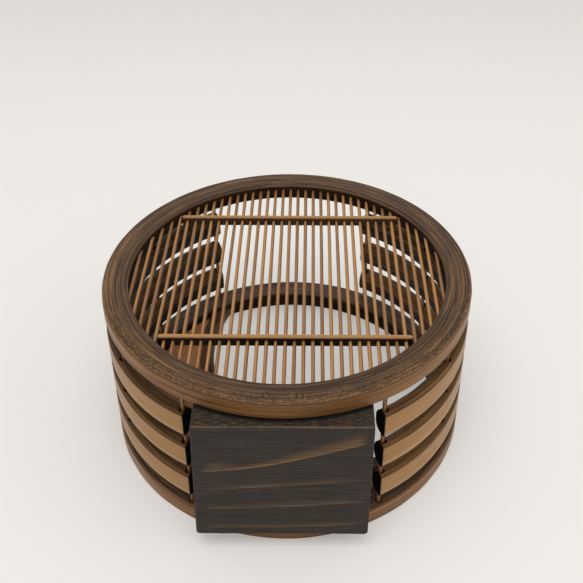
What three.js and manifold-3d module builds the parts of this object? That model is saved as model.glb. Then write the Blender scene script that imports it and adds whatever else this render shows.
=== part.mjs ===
// A drum-shaped bamboo flower basket, lying on its front ring with its rear grille up.
// Millimetres, +Z along the drum's axis. In use it is turned up to stand on its wooden base block.

import * as THREE from 'three';
import { mergeVertices } from 'three/addons/utils/BufferGeometryUtils.js';
import Module from 'manifold-3d';

const wasm = await Module();
wasm.setup();

// Driving dimensions

// The two rings
const ringDiameter = 240;
const ringWidth = 16.6;
const ringHeight = 12;
const ringEdge = 1.2;
const drumHeight = 117.6;

// The rear grille: round sticks side by side, threaded through two battens
const stickCount = 37;
const stickDiameter = 2.3;
const outerStickInset = 2.6;
const stickDrop = 5.2;
const stickSeat = 3;
const battenInset = 40.2;
const battenWidth = 3.7;
const battenHeight = 6.8;
const battenRise = 0.5;
const battenOverhang = 4;
const battenEndRadius = 1.8;

// The side wall: bent half-round slats held by upright rods
const slatsPerSide = 3;
const slatHeight = 18.4;
const slatDepth = 9.4;
const slatBevelHeight = 1.8;
const slatBevelDepth = 1.2;
const slatGap = 8.1;
const slatDrop = 1.9;
const slatOverhang = 2.4;
const slatFullness = 2.8;
const rodAngles = [-59.5, -30, 30, 59.5];
const rodDiameter = 2.7;
const rodSeat = 6;

// The base block, pinned by pegs that show on the rear ring
const blockWidth = 102.6;
const blockThickness = 21;
const blockProud = 5.5;
const blockCorner = 2.2;
const blockEdge = 0.8;
const pegDiameter = 3.3;
const pegSpacing = 18.8;
const pegInset = 6.4;
const pegSeat = 10;

// The front window: a round opening set to one side, its strip and the crescent panel beside it
const windowRadius = 108;
const windowShiftX = 49.5;
const windowShiftY = 46.5;
const stripWidth = 10.2;
const stripHeight = 6.9;
const stripRise = 1.5;
const stripEdge = 0.8;
const stripSeat = 2.5;
const panelThickness = 1.6;
const panelRise = 4;
const panelTongue = 2.5;

// Clearance round every seated piece, the overrun of cuts, and the weld distance of meshes
const seatGap = 0.3;
const cutOverrun = 1;
const weldDistance = 0.0001;

// Facets
const ringFacets = 72;
const stickFacets = 8;
const rodFacets = 10;
const holeFacets = 8;
const bulgeSteps = 4;
const cornerSteps = 3;

// Derived sizes
const outerRadius = ringDiameter / 2;
const innerRadius = outerRadius - ringWidth;
const stickRadius = stickDiameter / 2;
const sticksEachSide = (stickCount - 1) / 2;
const stickPitch = (innerRadius - outerStickInset) / sticksEachSide;
const battenOffset = innerRadius - battenInset;
const rodRadius = rodDiameter / 2;
const rodCircleRadius = outerRadius - slatDepth / 2;
const pegRadius = pegDiameter / 2;
const wallHeight = drumHeight - 2 * ringHeight;
const stripOuterRadius = windowRadius + stripWidth;

const palette = {
  rearRing: { color: 0x5a4433, roughness: 0.5 },
  frontRing: { color: 0x6b4c33, roughness: 0.5 },
  stick: { color: 0xa9743f, roughness: 0.45 },
  batten: { color: 0xc59a58, roughness: 0.4 },
  slat: { color: 0x8f7350, roughness: 0.5 },
  rod: { color: 0xa06c38, roughness: 0.5 },
  block: { color: 0x39342f, roughness: 0.55 },
  peg: { color: 0x5f4a3a, roughness: 0.6 },
  strip: { color: 0x3a2a1c, roughness: 0.55 },
  panel: { color: 0x94603a, roughness: 0.7 },
};

// Solids

// A closed three.js geometry as a solid that can be cut and joined.
function solidFrom(geometry) {
  const bare = geometry.clone();
  bare.deleteAttribute('normal');
  bare.deleteAttribute('uv');
  const welded = mergeVertices(bare, weldDistance);
  const vertProperties = new Float32Array(welded.attributes.position.array);
  const triVerts = new Uint32Array(welded.index.array);
  return new wasm.Manifold(new wasm.Mesh({ numProp: 3, vertProperties, triVerts }));
}

// A solid back as a three.js geometry, with its normals.
function geometryFrom(solid) {
  const mesh = solid.getMesh();
  const positions = new Float32Array(mesh.numVert * 3);
  for (let vertex = 0; vertex < mesh.numVert; vertex += 1) {
    for (let axis = 0; axis < 3; axis += 1) {
      positions[vertex * 3 + axis] = mesh.vertProperties[vertex * mesh.numProp + axis];
    }
  }
  const geometry = new THREE.BufferGeometry();
  geometry.setAttribute('position', new THREE.BufferAttribute(positions, 3));
  geometry.setIndex(new THREE.BufferAttribute(new Uint32Array(mesh.triVerts), 1));
  geometry.computeVertexNormals();
  return geometry;
}

// A section of [radius, height] points turned about the Z axis.
function turned(section) {
  const points = section.map(([radius, height]) => new THREE.Vector2(radius, height));
  points.push(points[0].clone());
  const geometry = new THREE.LatheGeometry(points, ringFacets);
  geometry.rotateX(Math.PI / 2);
  return solidFrom(geometry);
}

// A round bar along Z from one height to another.
function bar(radius, bottom, top, facets) {
  const geometry = new THREE.CylinderGeometry(radius, radius, top - bottom, facets);
  geometry.rotateX(Math.PI / 2);
  geometry.translate(0, 0, (bottom + top) / 2);
  return geometry;
}

// A hole for a round bar: its flats clear the bar by the seat gap.
function hole(radius, bottom, top) {
  const circumscribed = (radius + seatGap) / Math.cos(Math.PI / holeFacets);
  return bar(circumscribed, bottom, top, holeFacets);
}

// A rectangular section with its four corners cut off at 45 degrees.
function bevelledSection(innermost, outermost, bottom, top, edge) {
  return [
    [innermost, bottom + edge],
    [innermost + edge, bottom],
    [outermost - edge, bottom],
    [outermost, bottom + edge],
    [outermost, top - edge],
    [outermost - edge, top],
    [innermost + edge, top],
    [innermost, top - edge],
  ];
}

// A rectangle with rounded corners, centred on the origin.
function roundedRectangle(width, height, radius) {
  const shape = new THREE.Shape();
  const right = width / 2 - radius;
  const top = height / 2 - radius;
  shape.moveTo(-right, -top - radius);
  shape.absarc(right, -top, radius, -Math.PI / 2, 0);
  shape.absarc(right, top, radius, 0, Math.PI / 2);
  shape.absarc(-right, top, radius, Math.PI / 2, Math.PI);
  shape.absarc(-right, -top, radius, Math.PI, Math.PI * 3 / 2);
  return shape;
}

function onCircle(radius, degrees) {
  const angle = THREE.MathUtils.degToRad(degrees);
  return [radius * Math.cos(angle), radius * Math.sin(angle)];
}

function centredNumbers(count) {
  return Array.from({ length: count }, (unused, index) => index - (count - 1) / 2);
}

// Names with a number that counts from 1.
function numbered(name, index) {
  return `${name}_${String(index + 1).padStart(2, '0')}`;
}

function pieceMesh(name, geometry, finish) {
  const mesh = new THREE.Mesh(geometry, new THREE.MeshStandardMaterial(finish));
  mesh.name = name;
  return mesh;
}

// Places that several pieces share

// How far from the middle a stick at this distance from the axis ends, seated in the ring's inner wall.
function stickReach(across) {
  const nearSide = Math.abs(across) - stickRadius;
  return Math.sqrt(innerRadius ** 2 - nearSide ** 2) + stickSeat;
}

function pegPlace(side) {
  const across = side * pegSpacing / 2;
  return [across, -Math.sqrt((outerRadius - pegInset) ** 2 - across ** 2)];
}

// The eight rod places round the drum: the right side's angles and their mirror images.
function rodPlaces() {
  const leftAngles = rodAngles.map((degrees) => 180 - degrees);
  return [...rodAngles, ...leftAngles].map((degrees) => onCircle(rodCircleRadius, degrees));
}

// Height of a slat's middle above the front ring's underside. The slats sit a little below mid-height.
function slatLevel(number) {
  return drumHeight / 2 - slatDrop + number * (slatHeight + slatGap);
}

// Rear ring and grille, seen in the rear ring's own frame: its underside is at height 0

const stickLevel = ringHeight - stickDrop;

function plainRing() {
  return turned(bevelledSection(innerRadius, outerRadius, 0, ringHeight, ringEdge));
}

// One long cutter per stick makes the two blind holes that its ends sit in.
function stickSockets() {
  return centredNumbers(stickCount).map((number) => {
    const across = number * stickPitch;
    const reach = stickReach(across) + seatGap;
    const cutter = hole(stickRadius, -reach, reach);
    cutter.rotateX(Math.PI / 2);
    cutter.translate(across, 0, stickLevel);
    return solidFrom(cutter);
  });
}

function rearRing() {
  const cutters = stickSockets();
  for (const [x, y] of rodPlaces()) {
    const socket = hole(rodRadius, -cutOverrun, rodSeat);
    socket.translate(x, y, 0);
    cutters.push(solidFrom(socket));
  }
  for (const side of [-1, 1]) {
    const [x, y] = pegPlace(side);
    const pegHole = hole(pegRadius, -cutOverrun, ringHeight + cutOverrun);
    pegHole.translate(x, y, 0);
    cutters.push(solidFrom(pegHole));
  }
  const ring = plainRing().subtract(wasm.Manifold.union(cutters));
  return pieceMesh('rear_ring', geometryFrom(ring), palette.rearRing);
}

function grilleStick(number, index) {
  const across = number * stickPitch;
  const reach = stickReach(across);
  const geometry = bar(stickRadius, -reach, reach, stickFacets);
  geometry.rotateX(Math.PI / 2);
  const stick = pieceMesh(numbered('grille_stick', index), geometry, palette.stick);
  stick.position.set(across, 0, stickLevel);
  return stick;
}

// The number of sticks that a batten can hold without reaching the ring.
function sticksPerBatten() {
  const farEdge = battenOffset + battenWidth / 2;
  const room = Math.sqrt(innerRadius ** 2 - farEdge ** 2) - battenOverhang - seatGap;
  return 2 * Math.floor(room / stickPitch) + 1;
}

// A flat strip on edge across the sticks, bored for each stick that it holds.
function batten(name, side) {
  const held = centredNumbers(sticksPerBatten());
  const length = (held.length - 1) * stickPitch + 2 * battenOverhang;
  const outline = roundedRectangle(length, battenWidth, Math.min(battenEndRadius, battenWidth / 2));
  const body = new THREE.ExtrudeGeometry(outline, {
    depth: battenHeight,
    bevelEnabled: false,
    curveSegments: cornerSteps,
  });
  body.translate(0, 0, battenRise - battenHeight / 2);
  const bores = held.map((number) => {
    const bore = hole(stickRadius, -battenWidth, battenWidth);
    bore.rotateX(Math.PI / 2);
    bore.translate(number * stickPitch, 0, 0);
    return solidFrom(bore);
  });
  const bored = solidFrom(body).subtract(wasm.Manifold.union(bores));
  const mesh = pieceMesh(name, geometryFrom(bored), palette.batten);
  mesh.position.set(0, side * battenOffset, stickLevel);
  return mesh;
}

function rearFrame() {
  const frame = new THREE.Group();
  frame.add(rearRing());
  centredNumbers(stickCount).forEach((number, index) => frame.add(grilleStick(number, index)));
  frame.add(batten('batten_mouth_side', 1));
  frame.add(batten('batten_base_side', -1));
  for (const [name, side] of [['ring_peg_left', -1], ['ring_peg_right', 1]]) {
    const [x, y] = pegPlace(side);
    const peg = pieceMesh(name, bar(pegRadius, -pegSeat, ringHeight, rodFacets), palette.peg);
    peg.position.set(x, y, 0);
    frame.add(peg);
  }
  frame.position.z = drumHeight - ringHeight;
  return frame;
}

// Side wall

// Half-round section: a bevelled flat outer face, and a full, rounded back towards the inside.
function slatSection() {
  const half = slatHeight / 2;
  const halfFace = half - slatBevelHeight;
  const bulgeDepth = slatDepth - slatBevelDepth;
  const section = [[outerRadius, halfFace]];
  for (let step = -bulgeSteps; step <= bulgeSteps; step += 1) {
    const turn = step / bulgeSteps * Math.PI / 2;
    const inward = Math.cos(turn) ** (2 / slatFullness) * bulgeDepth;
    const upward = Math.sign(turn) * Math.abs(Math.sin(turn)) ** (2 / slatFullness) * half;
    section.push([outerRadius - slatBevelDepth - inward, -upward]);
  }
  section.push([outerRadius, -halfFace]);
  return section;
}

// A wedge about the Z axis that opens towards +X, wide enough to hold one side's slats.
function sideWedge(halfAngle) {
  const reach = 2 * ringDiameter;
  const shape = new THREE.Shape();
  shape.moveTo(0, 0);
  shape.lineTo(...onCircle(reach, -halfAngle));
  shape.lineTo(reach * 2, 0);
  shape.lineTo(...onCircle(reach, halfAngle));
  const geometry = new THREE.ExtrudeGeometry(shape, { depth: 2 * slatHeight, bevelEnabled: false });
  geometry.translate(0, 0, -slatHeight);
  return solidFrom(geometry);
}

// The right side's slat, bored for its rods. The left side's is the same piece turned half round.
function slatGeometry() {
  const overhangAngle = THREE.MathUtils.radToDeg(slatOverhang / rodCircleRadius);
  const halfAngle = Math.max(...rodAngles) + overhangAngle;
  const bores = rodAngles.map((degrees) => {
    const bore = hole(rodRadius, -slatHeight, slatHeight);
    bore.translate(...onCircle(rodCircleRadius, degrees), 0);
    return solidFrom(bore);
  });
  const arc = turned(slatSection()).intersect(sideWedge(halfAngle));
  return geometryFrom(arc.subtract(wasm.Manifold.union(bores)));
}

function wallSide(name, turn) {
  const side = new THREE.Group();
  const geometry = slatGeometry();
  centredNumbers(slatsPerSide).forEach((number, index) => {
    const slat = pieceMesh(numbered(`slat_${name}`, index), geometry, palette.slat);
    slat.position.z = slatLevel(number);
    side.add(slat);
  });
  rodAngles.forEach((degrees, index) => {
    const bottom = ringHeight - rodSeat + seatGap;
    const geometryOfRod = bar(rodRadius, bottom, drumHeight - bottom, rodFacets);
    const rod = pieceMesh(numbered(`rod_${name}`, index), geometryOfRod, palette.rod);
    rod.position.set(...onCircle(rodCircleRadius, degrees), 0);
    side.add(rod);
  });
  side.rotation.z = turn;
  return side;
}

// Base block between the rings, standing proud of them on the near side

function baseBlock() {
  const height = wallHeight - 2 * seatGap;
  const outline = roundedRectangle(blockWidth - 2 * blockEdge, height - 2 * blockEdge, blockCorner);
  const body = new THREE.ExtrudeGeometry(outline, {
    depth: blockThickness - 2 * blockEdge,
    bevelThickness: blockEdge,
    bevelSize: blockEdge,
    bevelSegments: 1,
    curveSegments: cornerSteps,
  });
  body.rotateX(Math.PI / 2);
  const nearFace = -outerRadius - blockProud;
  body.translate(0, nearFace + blockThickness - blockEdge, drumHeight / 2);
  const pegHoles = [-1, 1].map((side) => {
    const [x, y] = pegPlace(side);
    const rearRingUnderside = drumHeight - ringHeight;
    const socket = hole(pegRadius, rearRingUnderside - pegSeat - seatGap, rearRingUnderside);
    socket.translate(x, y, 0);
    return solidFrom(socket);
  });
  const block = solidFrom(body).subtract(wasm.Manifold.union(pegHoles));
  return pieceMesh('base_block', geometryFrom(block), palette.block);
}

// Front ring, window strip and crescent panel

// A plain tube or disc about the window's own axis.
function windowTube(innermost, outermost, bottom, top) {
  const disc = bar(outermost, bottom, top, ringFacets);
  disc.translate(windowShiftX, windowShiftY, 0);
  const bore = bar(innermost, bottom - cutOverrun, top + cutOverrun, ringFacets);
  bore.translate(windowShiftX, windowShiftY, 0);
  return solidFrom(disc).subtract(solidFrom(bore));
}

function discAboutAxis(radius, bottom, top) {
  return solidFrom(bar(radius, bottom, top, ringFacets));
}

// The crescent between the ring and the window strip, tongued into both. Grown, it cuts their grooves.
function crescent(grow) {
  const bottom = panelRise - grow;
  const top = panelRise + panelThickness + grow;
  const windowEdge = stripOuterRadius - panelTongue - grow;
  const windowCut = bar(windowEdge, bottom - cutOverrun, top + cutOverrun, ringFacets);
  windowCut.translate(windowShiftX, windowShiftY, 0);
  return discAboutAxis(innerRadius + panelTongue + grow, bottom, top).subtract(solidFrom(windowCut));
}

// The strip's ends reach into shallow sockets in the front ring's inner wall.
function stripSocket() {
  const bottom = stripRise - seatGap;
  const top = stripRise + stripHeight + seatGap;
  const tube = windowTube(windowRadius - seatGap, stripOuterRadius + seatGap, bottom, top);
  return tube.intersect(discAboutAxis(innerRadius + stripSeat + seatGap, bottom, top));
}

function windowStrip() {
  const top = stripRise + stripHeight;
  const section = bevelledSection(windowRadius, stripOuterRadius, stripRise, top, stripEdge);
  const hoop = turned(section).translate([windowShiftX, windowShiftY, 0]);
  const reach = discAboutAxis(innerRadius + stripSeat, stripRise, top);
  const strip = hoop.intersect(reach).subtract(crescent(seatGap));
  return pieceMesh('window_strip', geometryFrom(strip), palette.strip);
}

function frontRing() {
  const cutters = [crescent(seatGap), stripSocket()];
  for (const [x, y] of rodPlaces()) {
    const socket = hole(rodRadius, ringHeight - rodSeat, ringHeight + cutOverrun);
    socket.translate(x, y, 0);
    cutters.push(solidFrom(socket));
  }
  const ring = plainRing().subtract(wasm.Manifold.union(cutters));
  return pieceMesh('front_ring', geometryFrom(ring), palette.frontRing);
}

// The whole basket: the origin is under the middle of its outline, base block included.
const basket = new THREE.Group();
basket.position.y = blockProud / 2;
basket.add(frontRing());
basket.add(windowStrip());
basket.add(pieceMesh('crescent_panel', geometryFrom(crescent(0)), palette.panel));
basket.add(baseBlock());
basket.add(wallSide('right', 0));
basket.add(wallSide('left', Math.PI));
basket.add(rearFrame());

const part = new THREE.Group();
part.add(basket);

export default part;
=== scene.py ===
"""Drum-shaped ikebana basket lying on its front ring: the visual model over the packed frame."""

import math
from types import SimpleNamespace

import bmesh
import bpy
import numpy as np
from mathutils import Matrix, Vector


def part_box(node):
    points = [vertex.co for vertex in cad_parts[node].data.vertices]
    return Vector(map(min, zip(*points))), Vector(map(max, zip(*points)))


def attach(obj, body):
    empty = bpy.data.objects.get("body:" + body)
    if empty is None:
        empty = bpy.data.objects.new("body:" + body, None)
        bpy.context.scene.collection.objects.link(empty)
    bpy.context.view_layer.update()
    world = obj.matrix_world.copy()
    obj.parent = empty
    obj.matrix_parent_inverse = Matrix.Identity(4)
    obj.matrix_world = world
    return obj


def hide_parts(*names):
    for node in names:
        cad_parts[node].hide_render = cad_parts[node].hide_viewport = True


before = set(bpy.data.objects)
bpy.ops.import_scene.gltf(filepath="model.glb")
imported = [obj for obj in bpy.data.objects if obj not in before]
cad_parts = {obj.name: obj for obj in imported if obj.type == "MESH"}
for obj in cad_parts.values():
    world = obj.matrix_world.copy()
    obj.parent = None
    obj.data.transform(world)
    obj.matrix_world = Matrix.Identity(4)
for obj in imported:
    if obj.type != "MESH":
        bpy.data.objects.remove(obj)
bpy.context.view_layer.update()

bl_info = {
    "name": "Ikebana Drum Basket",
    "version": (1, 0, 0),
    "blender": (4, 5, 0),
    "location": "View3D > Sidebar > Basket",
    "description": "Rings, slats, rods, grille and base block of a bamboo drum basket",
    "category": "Object",
}

SIDES = ("right", "left")
SLATS = [f"slat_{side}_{number:02d}" for side in SIDES for number in (1, 2, 3)]
RODS = [f"rod_{side}_{number:02d}" for side in SIDES for number in (1, 2, 3, 4)]
STICKS = [f"grille_stick_{number:02d}" for number in range(1, 38)]
BATTENS = ["batten_mouth_side", "batten_base_side"]
PEGS = ["ring_peg_left", "ring_peg_right"]

# How square a slat's back is on the right, 1, and on the left, -1, where the poles are less round
FULLNESS = {1: 2.5, -1: 3.6}

# Edges that turn by more than this are shaded as sharp
SHARP_ANGLE = math.radians(48)


# Sizes and colours

def corners(node):
    return [np.array(corner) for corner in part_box(node)]


def middle(node):
    low, high = corners(node)
    return (low + high) / 2


def places(nodes):
    """Where the middles of upright pieces stand, seen from above."""
    return np.array([middle(node)[:2] for node in nodes])


def span(node, axis):
    low, high = corners(node)
    return float(high[axis] - low[axis])


def setting(label, default, description, **limits):
    return bpy.props.FloatProperty(name=label, description=description, default=default, **limits)


def size(label, default, description):
    return setting(label, default, description, min=0, unit="LENGTH", precision=5)


def colour(label, red, green, blue, description):
    """A colour setting, from the values 0 to 255 that a paint chart gives."""
    shares = np.array([red, green, blue]) / 255
    linear = np.where(shares <= 0.04045, shares / 12.92, ((shares + 0.055) / 1.055) ** 2.4)
    return bpy.props.FloatVectorProperty(
        name=label, description=description, default=tuple(linear), subtype="COLOR", min=0, max=1
    )


class BasketSizes(bpy.types.PropertyGroup):
    """Sizes of the basket's pieces, in metres"""

    ring_radius: size("Ring radius", span("rear_ring", 0) / 2, "Outer radius of both rings")
    ring_width: size("Ring width", 0.0166, "Width of a ring's flat face")
    lining_width: size("Lining width", 0.0014, "Width of the rear ring's innermost ply")
    lining_drop: size("Lining drop", 0.0007, "How much lower the rear ring's innermost ply lies")
    lining_depth: size("Lining depth", 0.0028, "How far down the rear ring's inner wall is browner")
    ring_edge: size("Ring edge", 0.0012, "Rounding of a ring's edges")
    rim_edge: size("Rim edge", 0.0019, "Rounding of the rear ring's outer top edge")
    rod_radius: size("Rod radius", 0.00135, "Radius of the upright rods")
    rod_hole: size("Rod hole radius", 0.0023, "Radius of the holes that the rods pass through")
    rod_socket: size("Rod socket depth", 0.0008, "How far the front ring's top sinks round a rod")
    slat_depth: size("Slat depth", 0.0097, "How deep a slat is, from its outer face to its back")
    slat_overhang: size("Slat overhang", 0.0024, "How far a slat runs on past its outermost rods")
    slat_bevel_depth: size("Slat bevel depth", 0.0012, "How deep the bevels beside a slat's outer face are")
    slat_bevel_height: size("Slat bevel height", 0.0018, "How high the bevels beside a slat's outer face are")
    stick_radius: size("Stick radius", 0.00115, "Radius of the grille's sticks")
    batten_crown: size("Batten crown", 0.0005, "Rise of a batten's rounded top")
    batten_nose: size("Batten nose", 0.0018, "Length of a batten's rounded end")
    peg_hole: size("Peg hole radius", 0.00205, "Radius of the holes round the two pegs")
    peg_socket: size("Peg socket depth", 0.0006, "How far the rear ring's top sinks round a peg")
    block_corner: size("Block corner", 0.0022, "Rounding of the base block's corners, seen from the front")
    block_edge: size("Block edge", 0.0009, "Rounding of the base block's other edges")
    block_flare: size("Block flare", 0.002, "How far the block's lower left corner lies past its upper one")
    block_lean: size("Block lean", 0.0009, "How far the block's lower right corner lies inside its upper one")
    window_radius: size("Window radius", 0.108, "Inner radius of the window strip")
    strip_width: size("Strip width", 0.0102, "Width of the window strip")
    panel_tongue: size("Panel tongue", 0.0025, "Depth of the crescent panel's edges in ring and strip")
    weave_width: size("Weave width", 0.0009, "Width of the bamboo strips woven into the crescent panel")


class BasketColours(bpy.types.PropertyGroup):
    """Colours of the basket's finishes"""

    ring_top: colour("Ring top", 100, 71, 46, "Stain on the flat faces of the rings")
    ring_top_dark: colour("Ring top, dark", 44, 31, 23, "Dark bands in the rings' flat faces")
    ring_gold: colour("Ring gold", 160, 118, 70, "Light fibres in the rings' flat faces")
    ring_worn: colour("Ring worn", 134, 93, 52, "Worn rim of the rear ring")
    ring_side: colour("Ring side", 147, 103, 56, "Bamboo on the outer walls of the rings")
    ring_side_dark: colour("Ring side, dark", 92, 58, 28, "Dark fibres in the outer walls of the rings")
    ring_inside: colour("Ring inside", 28, 19, 12, "Dark stain on the inner walls of the rings")
    slat_face: colour("Slat face", 166, 123, 70, "Cut outer face of the slats")
    slat_face_dark: colour("Slat face, dark", 126, 87, 46, "Darker fibres of the slats' outer face")
    slat_bevel: colour("Slat bevel", 94, 63, 31, "Bevels beside the slats' outer face")
    slat_back: colour("Slat back", 120, 83, 46, "Stained skin of the slats")
    slat_back_light: colour("Slat back, light", 146, 104, 60, "Light fibres in the slats' skin")
    end_grain: colour("End grain", 10, 8, 7, "Charred end grain of the slats")
    stick: colour("Stick", 170, 121, 66, "Varnished bamboo of the sticks and rods")
    stick_dark: colour("Stick, dark", 92, 55, 27, "Darker sticks and fibres")
    batten_top: colour("Batten top", 162, 117, 58, "Bamboo skin on top of the battens")
    batten_side: colour("Batten side", 31, 20, 11, "Stained sides of the battens")
    block: colour("Block", 58, 49, 41, "Charcoal stain of the base block")
    block_dark: colour("Block, dark", 30, 25, 21, "Dark grain of the base block")
    block_streak: colour("Block streak", 142, 106, 66, "Light streaks in the base block")
    strip: colour("Strip", 80, 54, 28, "Window strip")
    panel: colour("Panel", 206, 138, 88, "Woven bamboo of the crescent panel")
    panel_dark: colour("Panel, dark", 118, 70, 42, "Shaded crossings of the crescent panel's weave")


class BasketStage(bpy.types.PropertyGroup):
    """Camera, floor and light"""

    lens: setting("Focal length", 56.158, "Focal length on a 36 mm wide sensor, in mm", min=1)
    shift_x: setting("Shift aside", -0.0334, "How far the photograph's frame was cut off-centre sideways")
    shift_y: setting("Shift upwards", -0.1538, "How far the photograph's frame was cut off-centre upwards")
    camera_height: size("Camera height", 0.4844, "Height of the camera above the floor")
    camera_back: size("Camera distance", 0.4734, "How far in front of the drum's axis the camera stands")
    camera_aside: size("Camera offset", 0.0152, "How far to the right of the drum's axis the camera stands")
    camera_tilt: setting("Tilt", math.radians(33.52), "Angle of the view below the horizon", subtype="ANGLE")
    camera_roll: setting("Roll", math.radians(-0.25), "Turn of the camera about its axis", subtype="ANGLE")
    floor: colour("Floor", 240, 237, 233, "Pale paper under the basket")
    glow: setting("Glow", 0.78, "How bright the paper and the sky look, whatever falls on them", min=0)
    sky: setting("Sky", 0.82, "Strength of the even light all round", min=0)
    lamp: setting("Soft lamps", 9, "Power of the large lamps together", min=0, unit="POWER")


def sizes():
    return bpy.context.scene.basket_sizes


def colours():
    """The colour settings as plain linear values."""
    chosen, labels = bpy.context.scene.basket_colours, BasketColours.__annotations__
    return SimpleNamespace(**{label: tuple(getattr(chosen, label)) for label in labels})


# Shapes

def smooth(values, start, end):
    """0 up to start, 1 from end, and three squares minus two cubes of the share in between."""
    share = np.clip((values - start) / (end - start), 0, 1)
    return share * share * (3 - 2 * share)


def waves(values, seed, count, lowest, highest):
    """Sum of count sines of the values, of frequencies from lowest to highest, scaled to about -1 to 1."""
    chance = np.random.default_rng(seed)
    frequencies = chance.integers(lowest, highest + 1, count)
    phases = chance.uniform(0, 2 * np.pi, count)
    shares = np.sin(values[..., None] * frequencies + phases)
    return shares.sum(-1) / math.sqrt(count)


def vectors(*parts):
    """Three arrays that broadcast together, as an array of 3-part vectors."""
    return np.stack(np.broadcast_arrays(*parts), -1)


def distances(across, up):
    """How far along a line of points each point lies."""
    return np.concatenate([[0], np.cumsum(np.hypot(np.diff(across), np.diff(up)))])


def open_faces(rows, columns):
    """Quads between the neighbouring points of a flat grid."""
    index = np.arange(rows * columns).reshape(rows, columns)
    return np.stack([index[:-1, :-1], index[1:, :-1], index[1:, 1:], index[:-1, 1:]], -1).reshape(-1, 4)


def swept_faces(rows, columns, closed_path):
    """Quads between rows of points that are closed loops, and a face over each end of an open path."""
    index = np.arange(rows * columns).reshape(rows, columns)
    after = np.roll(index, -1, 0) if closed_path else index[1:]
    before = index if closed_path else index[:-1]
    quads = np.stack([before, np.roll(before, -1, 1), np.roll(after, -1, 1), after], -1)
    ends = [] if closed_path else [index[0][::-1].tolist(), index[-1].tolist()]
    return quads.reshape(-1, 4).tolist() + ends


def piece(node, points, marks, materials, faces=None, closed_path=False, slots=None):
    """A finished piece that stands for its CAD node. Without faces, its points are rows of a swept section.

    marks holds its attributes, each as three values or arrays, and slots the number of each face's material.
    """
    if faces is None:
        faces = swept_faces(*points.shape[:2], closed_path)
    name = f"{node}_finished"
    mesh = bpy.data.meshes.new(name)
    mesh.from_pydata(points.reshape(-1, 3).tolist(), [], faces)
    whole = bmesh.new()
    whole.from_mesh(mesh)
    if whole.calc_volume(signed=True) < 0:
        bmesh.ops.reverse_faces(whole, faces=whole.faces)
        whole.to_mesh(mesh)
    whole.free()
    for label, parts in marks.items():
        values = np.stack([np.broadcast_to(part, points.shape[:-1]) for part in parts], -1)
        attribute = mesh.attributes.new(label, "FLOAT_VECTOR", "POINT")
        attribute.data.foreach_set("vector", values.astype(np.float32).ravel())
    for material in materials:
        mesh.materials.append(material)
    if slots is not None:
        mesh.polygons.foreach_set("material_index", np.asarray(slots, np.int32))
    mesh.shade_smooth()
    mesh.set_sharp_from_angle(angle=SHARP_ANGLE)
    made = bpy.data.objects.new(name, mesh)
    bpy.context.scene.collection.objects.link(made)
    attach(made, "root")
    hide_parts(node)
    return made


def rounded_section(inner, outer, low, high, edges, steps):
    """Section of a ring or bar: four straight sides joined by quarter circles, from below round the outside.

    edges are the corner radii, from the outer lower one round to the inner lower one, and steps the spacing
    of points on underside, outside, top and inside. Gives radius, height, distance round, and how far each
    point faces up.
    """
    radii = [edges[3], edges[0], edges[1], edges[2]]
    starts = [(inner, low), (outer, low), (outer, high), (inner, high)]
    inwards = [(1, 1), (-1, 1), (-1, -1), (1, -1)]
    centres = [np.array(start) + radius * np.array(way) for start, radius, way in zip(starts, radii, inwards)]
    sections = []
    for side in range(4):
        turn = (side - 1) * math.pi / 2
        following = (side + 1) % 4
        outward = np.array([math.cos(turn), math.sin(turn)])
        begin = centres[side] + outward * radii[side]
        finish = centres[following] + outward * radii[following]
        count = max(2, round(np.linalg.norm(finish - begin) / steps[side]))
        line = begin + (finish - begin) * np.linspace(0, 1, count + 1)[:, None]
        sections.append(np.column_stack([line, np.full(count + 1, outward[1])]))
        angles = turn + np.linspace(0, math.pi / 2, 6)[1:-1]
        arc = centres[following] + radii[following] * np.column_stack([np.cos(angles), np.sin(angles)])
        sections.append(np.column_stack([arc, np.sin(angles)]))
    radius, height, up = np.concatenate(sections).T
    return radius, height, distances(radius, height), up


def refined(angles, finer, half_width, step):
    """The angles, with others a step apart added within half_width of each of the finer angles."""
    extra = np.arange(-half_width, half_width + step, step)
    return np.concatenate([angles, *(angle + extra for angle in finer)])


def in_order(angles):
    """The angles in order, with those that are the same to five places taken once."""
    return np.unique(np.round(angles, 5))


def pits(x, y, centres, radius):
    """1 inside a round hole of that radius at any of the centres, 0 outside it, and a short slope between."""
    inside = np.zeros(np.broadcast(x, y).shape)
    for centre in centres:
        away = np.hypot(x - centre[0], y - centre[1])
        inside = np.maximum(inside, 1 - smooth(away, radius * 0.86, radius * 1.06))
    return inside


def drum_centre():
    return middle("rear_ring")[:2]


def bell(distance, width):
    """1 at no distance, falling off as the exponential of minus its square."""
    return np.exp(-(distance / width) ** 2)


def ply_pattern(across, turn, seed, count):
    """Bent plies side by side across a ring: a tone for each, -1 to 1, and how near a point is to a joint.

    The joints lie at uneven shares of the width and waver as a sum of sines of the angle. Each is a bell
    curve about its line, of a strength that comes and goes along it.
    """
    chance = np.random.default_rng(seed + 60)
    lines = (np.arange(1, count) + chance.uniform(-0.25, 0.25, count - 1)) / count
    tones = chance.permutation(np.linspace(-1, 1, count))
    tone, joint = tones[0], 0.0
    for ply, line in enumerate(lines):
        where = line + 0.01 * waves(turn, seed + ply, 4, 2, 9)
        strength = 0.6 + 0.4 * waves(turn, seed + 30 + ply, 4, 1, 7)
        joint = np.maximum(joint, np.clip(strength, 0.1, 1) * bell(across - where, 0.017))
        tone = tone + (tones[ply + 1] - tones[ply]) * smooth(across, where - 0.02, where + 0.02)
    return tone, joint


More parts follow.
